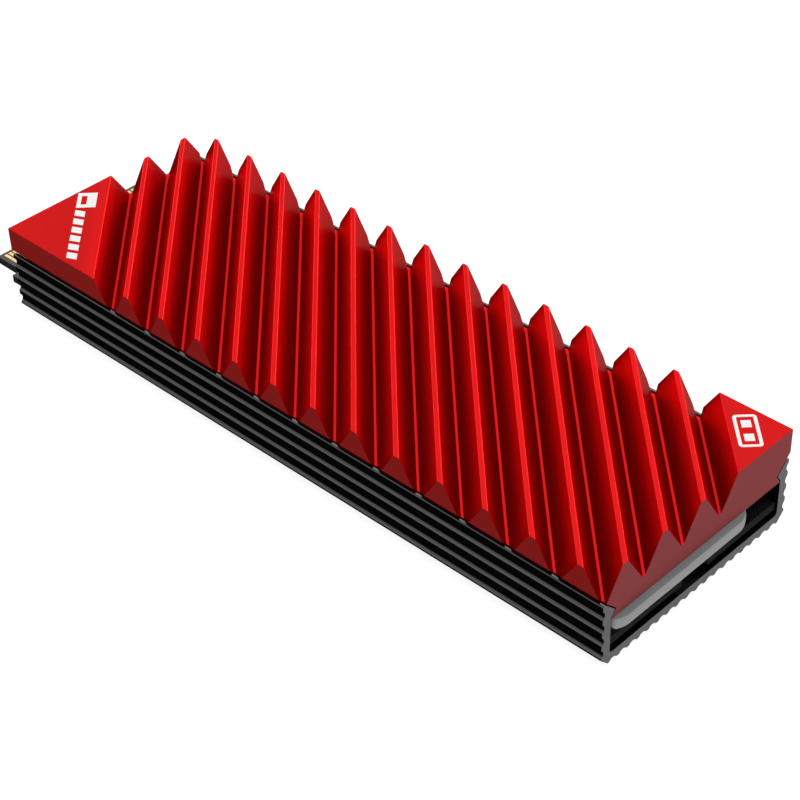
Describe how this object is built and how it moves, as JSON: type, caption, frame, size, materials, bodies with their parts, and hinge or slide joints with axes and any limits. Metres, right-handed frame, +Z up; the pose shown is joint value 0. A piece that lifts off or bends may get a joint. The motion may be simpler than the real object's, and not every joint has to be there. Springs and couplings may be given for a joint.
{
  "type": "solid state drive",
  "caption": "Bare-board solid state drive in a clip-on cooler: red diagonal-finned heatsink over a black ribbed tray.",
  "frame": {"origin": "centre of the cooler's underside, on the crest of the tray's middle rib", "axes": "+X along the card from its edge connector to its screw end, +Z up out of the fins, +Y across"},
  "size_m": [0.0809, 0.0244, 0.0096],
  "materials": {
    "red_anodised": "satin red anodised extrusion with bare-toned machined edges",
    "black_anodised": "satin black anodised extrusion, grey at its sawn ends",
    "grey_pad": "soft matt grey silicone thermal pad",
    "board": "black solder mask over glass-epoxy board",
    "gold": "gold plated copper",
    "solder": "bright tin solder",
    "mould": "black moulding compound, fine matt",
    "substrate": "dark green laminate",
    "nickel": "matt nickel plating",
    "ceramic": "tan sintered ceramic",
    "resistor": "black glazed resistor film",
    "ferrite": "grey pressed ferrite",
    "tantalum": "yellow-brown moulded case",
    "label": "plain white label film"
  },
  "bodies": {
    "tray": {"base_tray": "black_anodised", "lower_thermal_pad": "grey_pad"},
    "heatsink": {"finned_heatsink": "red_anodised", "upper_thermal_pad": "grey_pad"},
    "card": {"circuit_board": "board", "edge_contacts_top": "gold", "edge_contacts_bottom": "gold", "screw_pads": "gold", "underside_label": "label", "flash_package_1": "mould", "flash_package_2": "mould", "flash_solder_1": "solder", "flash_solder_2": "solder", "memory_package": "mould", "memory_solder": "solder", "controller_substrate": "substrate", "controller_lid": "nickel", "controller_solder": "solder", "ceramic_capacitors": "ceramic", "ceramic_end_caps": "solder", "chip_resistors": "resistor", "resistor_end_caps": "solder", "power_inductors": "ferrite", "inductor_end_caps": "solder", "tantalum_capacitors": "tantalum", "tantalum_end_caps": "solder", "power_regulator": "mould", "power_regulator_leads": "solder", "boot_memory": "mould", "boot_memory_leads": "solder", "temperature_sensor": "mould", "temperature_sensor_leads": "solder", "crystal_base": "ferrite", "crystal_lid": "nickel"}
  },
  "joints": [
    {"name": "heatsink_slide", "type": "slide", "parent": "tray", "child": "heatsink", "axis": [-1, 0, 0], "range_m": [0, 0.0736]},
    {"name": "card_slide", "type": "slide", "parent": "tray", "child": "card", "axis": [1, 0, 0], "range_m": [0, 0.08]}
  ]
}
